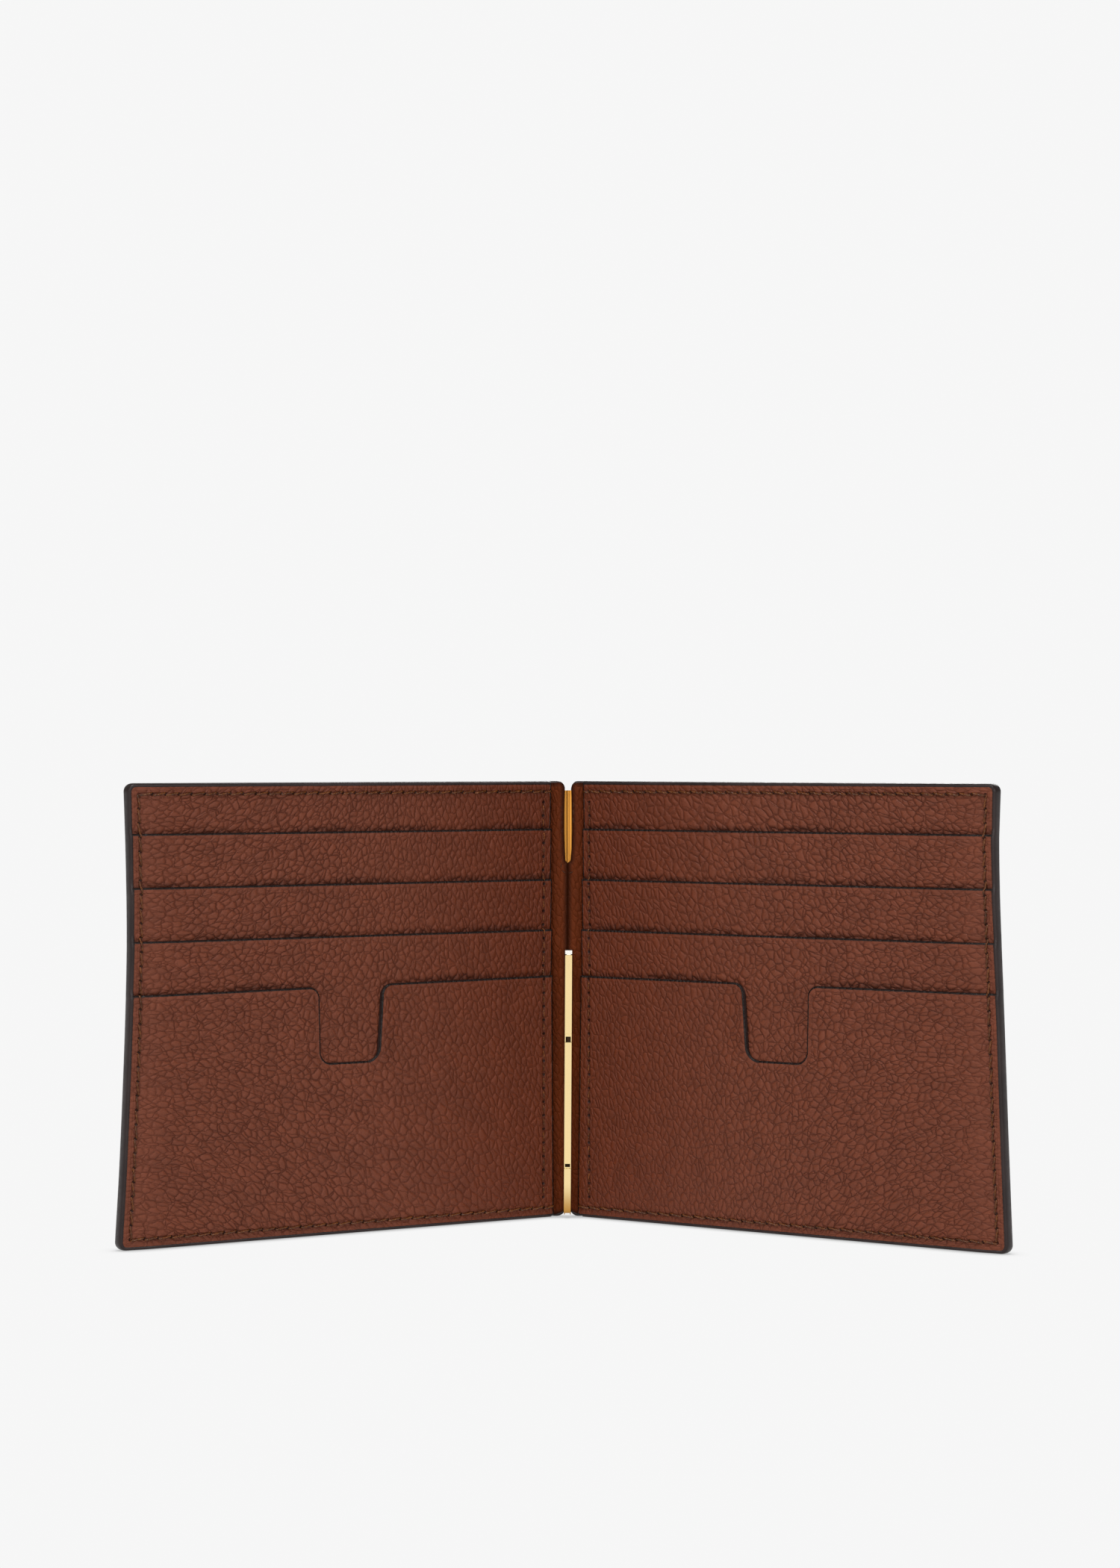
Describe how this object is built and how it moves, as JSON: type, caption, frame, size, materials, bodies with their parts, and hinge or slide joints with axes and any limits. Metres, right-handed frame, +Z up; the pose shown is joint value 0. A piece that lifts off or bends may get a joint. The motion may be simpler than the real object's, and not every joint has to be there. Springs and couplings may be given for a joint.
{
  "type": "bifold money-clip wallet",
  "caption": "Leather bifold wallet with stepped card pockets and a thumb notch in each half, and a hinged sprung metal clip on the spine for banknotes.",
  "frame": {"origin": "middle of the bounding box, on the surface that the open wallet stands on", "axes": "+X across the open wallet, from the left panel to the right one; +Y towards the spine, away from the insides; +Z up"},
  "size_m": [0.1644, 0.0552, 0.088],
  "materials": {
    "cover_leather": "pebbled full grain, satin, dark painted edges",
    "inner_leather": "pebbled full grain, satin, dark painted edges",
    "board": "bonded leather fibre board, matt",
    "thread": "waxed twisted polyester",
    "gold_metal": "polished pale gold plate",
    "spring_steel": "plain spring steel"
  },
  "bodies": {
    "spine": {"spine_cover": "cover_leather", "spine_lining": "inner_leather", "spine_stitching": "thread", "clip_rail": "gold_metal"},
    "clip": {"clip_arm": "gold_metal", "clip_hinge_pin": "spring_steel", "clip_leaf_spring": "spring_steel", "clip_tip_cap": "gold_metal"},
    "left_panel": {"left_cover": "cover_leather", "left_stiffener": "board", "left_lining": "inner_leather", "left_pocket_base": "inner_leather", "left_card_pocket_1": "inner_leather", "left_card_pocket_2": "inner_leather", "left_card_pocket_3": "inner_leather", "left_front_pocket": "inner_leather", "left_edge_stitching": "thread", "left_inner_stitching": "thread"},
    "right_panel": {"right_cover": "cover_leather", "right_stiffener": "board", "right_lining": "inner_leather", "right_pocket_base": "inner_leather", "right_card_pocket_1": "inner_leather", "right_card_pocket_2": "inner_leather", "right_card_pocket_3": "inner_leather", "right_front_pocket": "inner_leather", "right_edge_stitching": "thread", "right_inner_stitching": "thread"}
  },
  "joints": [
    {"name": "left_fold", "type": "hinge", "parent": "spine", "child": "left_panel", "pos_m": [-0.0039, 0.02715, 0.044], "axis": [0, 0, 1], "range_deg": [-34, 56]},
    {"name": "right_fold", "type": "hinge", "parent": "spine", "child": "right_panel", "pos_m": [0.0039, 0.02715, 0.044], "axis": [0, 0, -1], "range_deg": [-34, 56]},
    {"name": "clip_swing", "type": "hinge", "parent": "spine", "child": "clip", "pos_m": [0, 0.02427, 0.0023], "axis": [1, 0, 0], "range_deg": [0, 90], "stiffness_Nm_per_rad": 0.02, "springref_deg": -5.73}
  ]
}
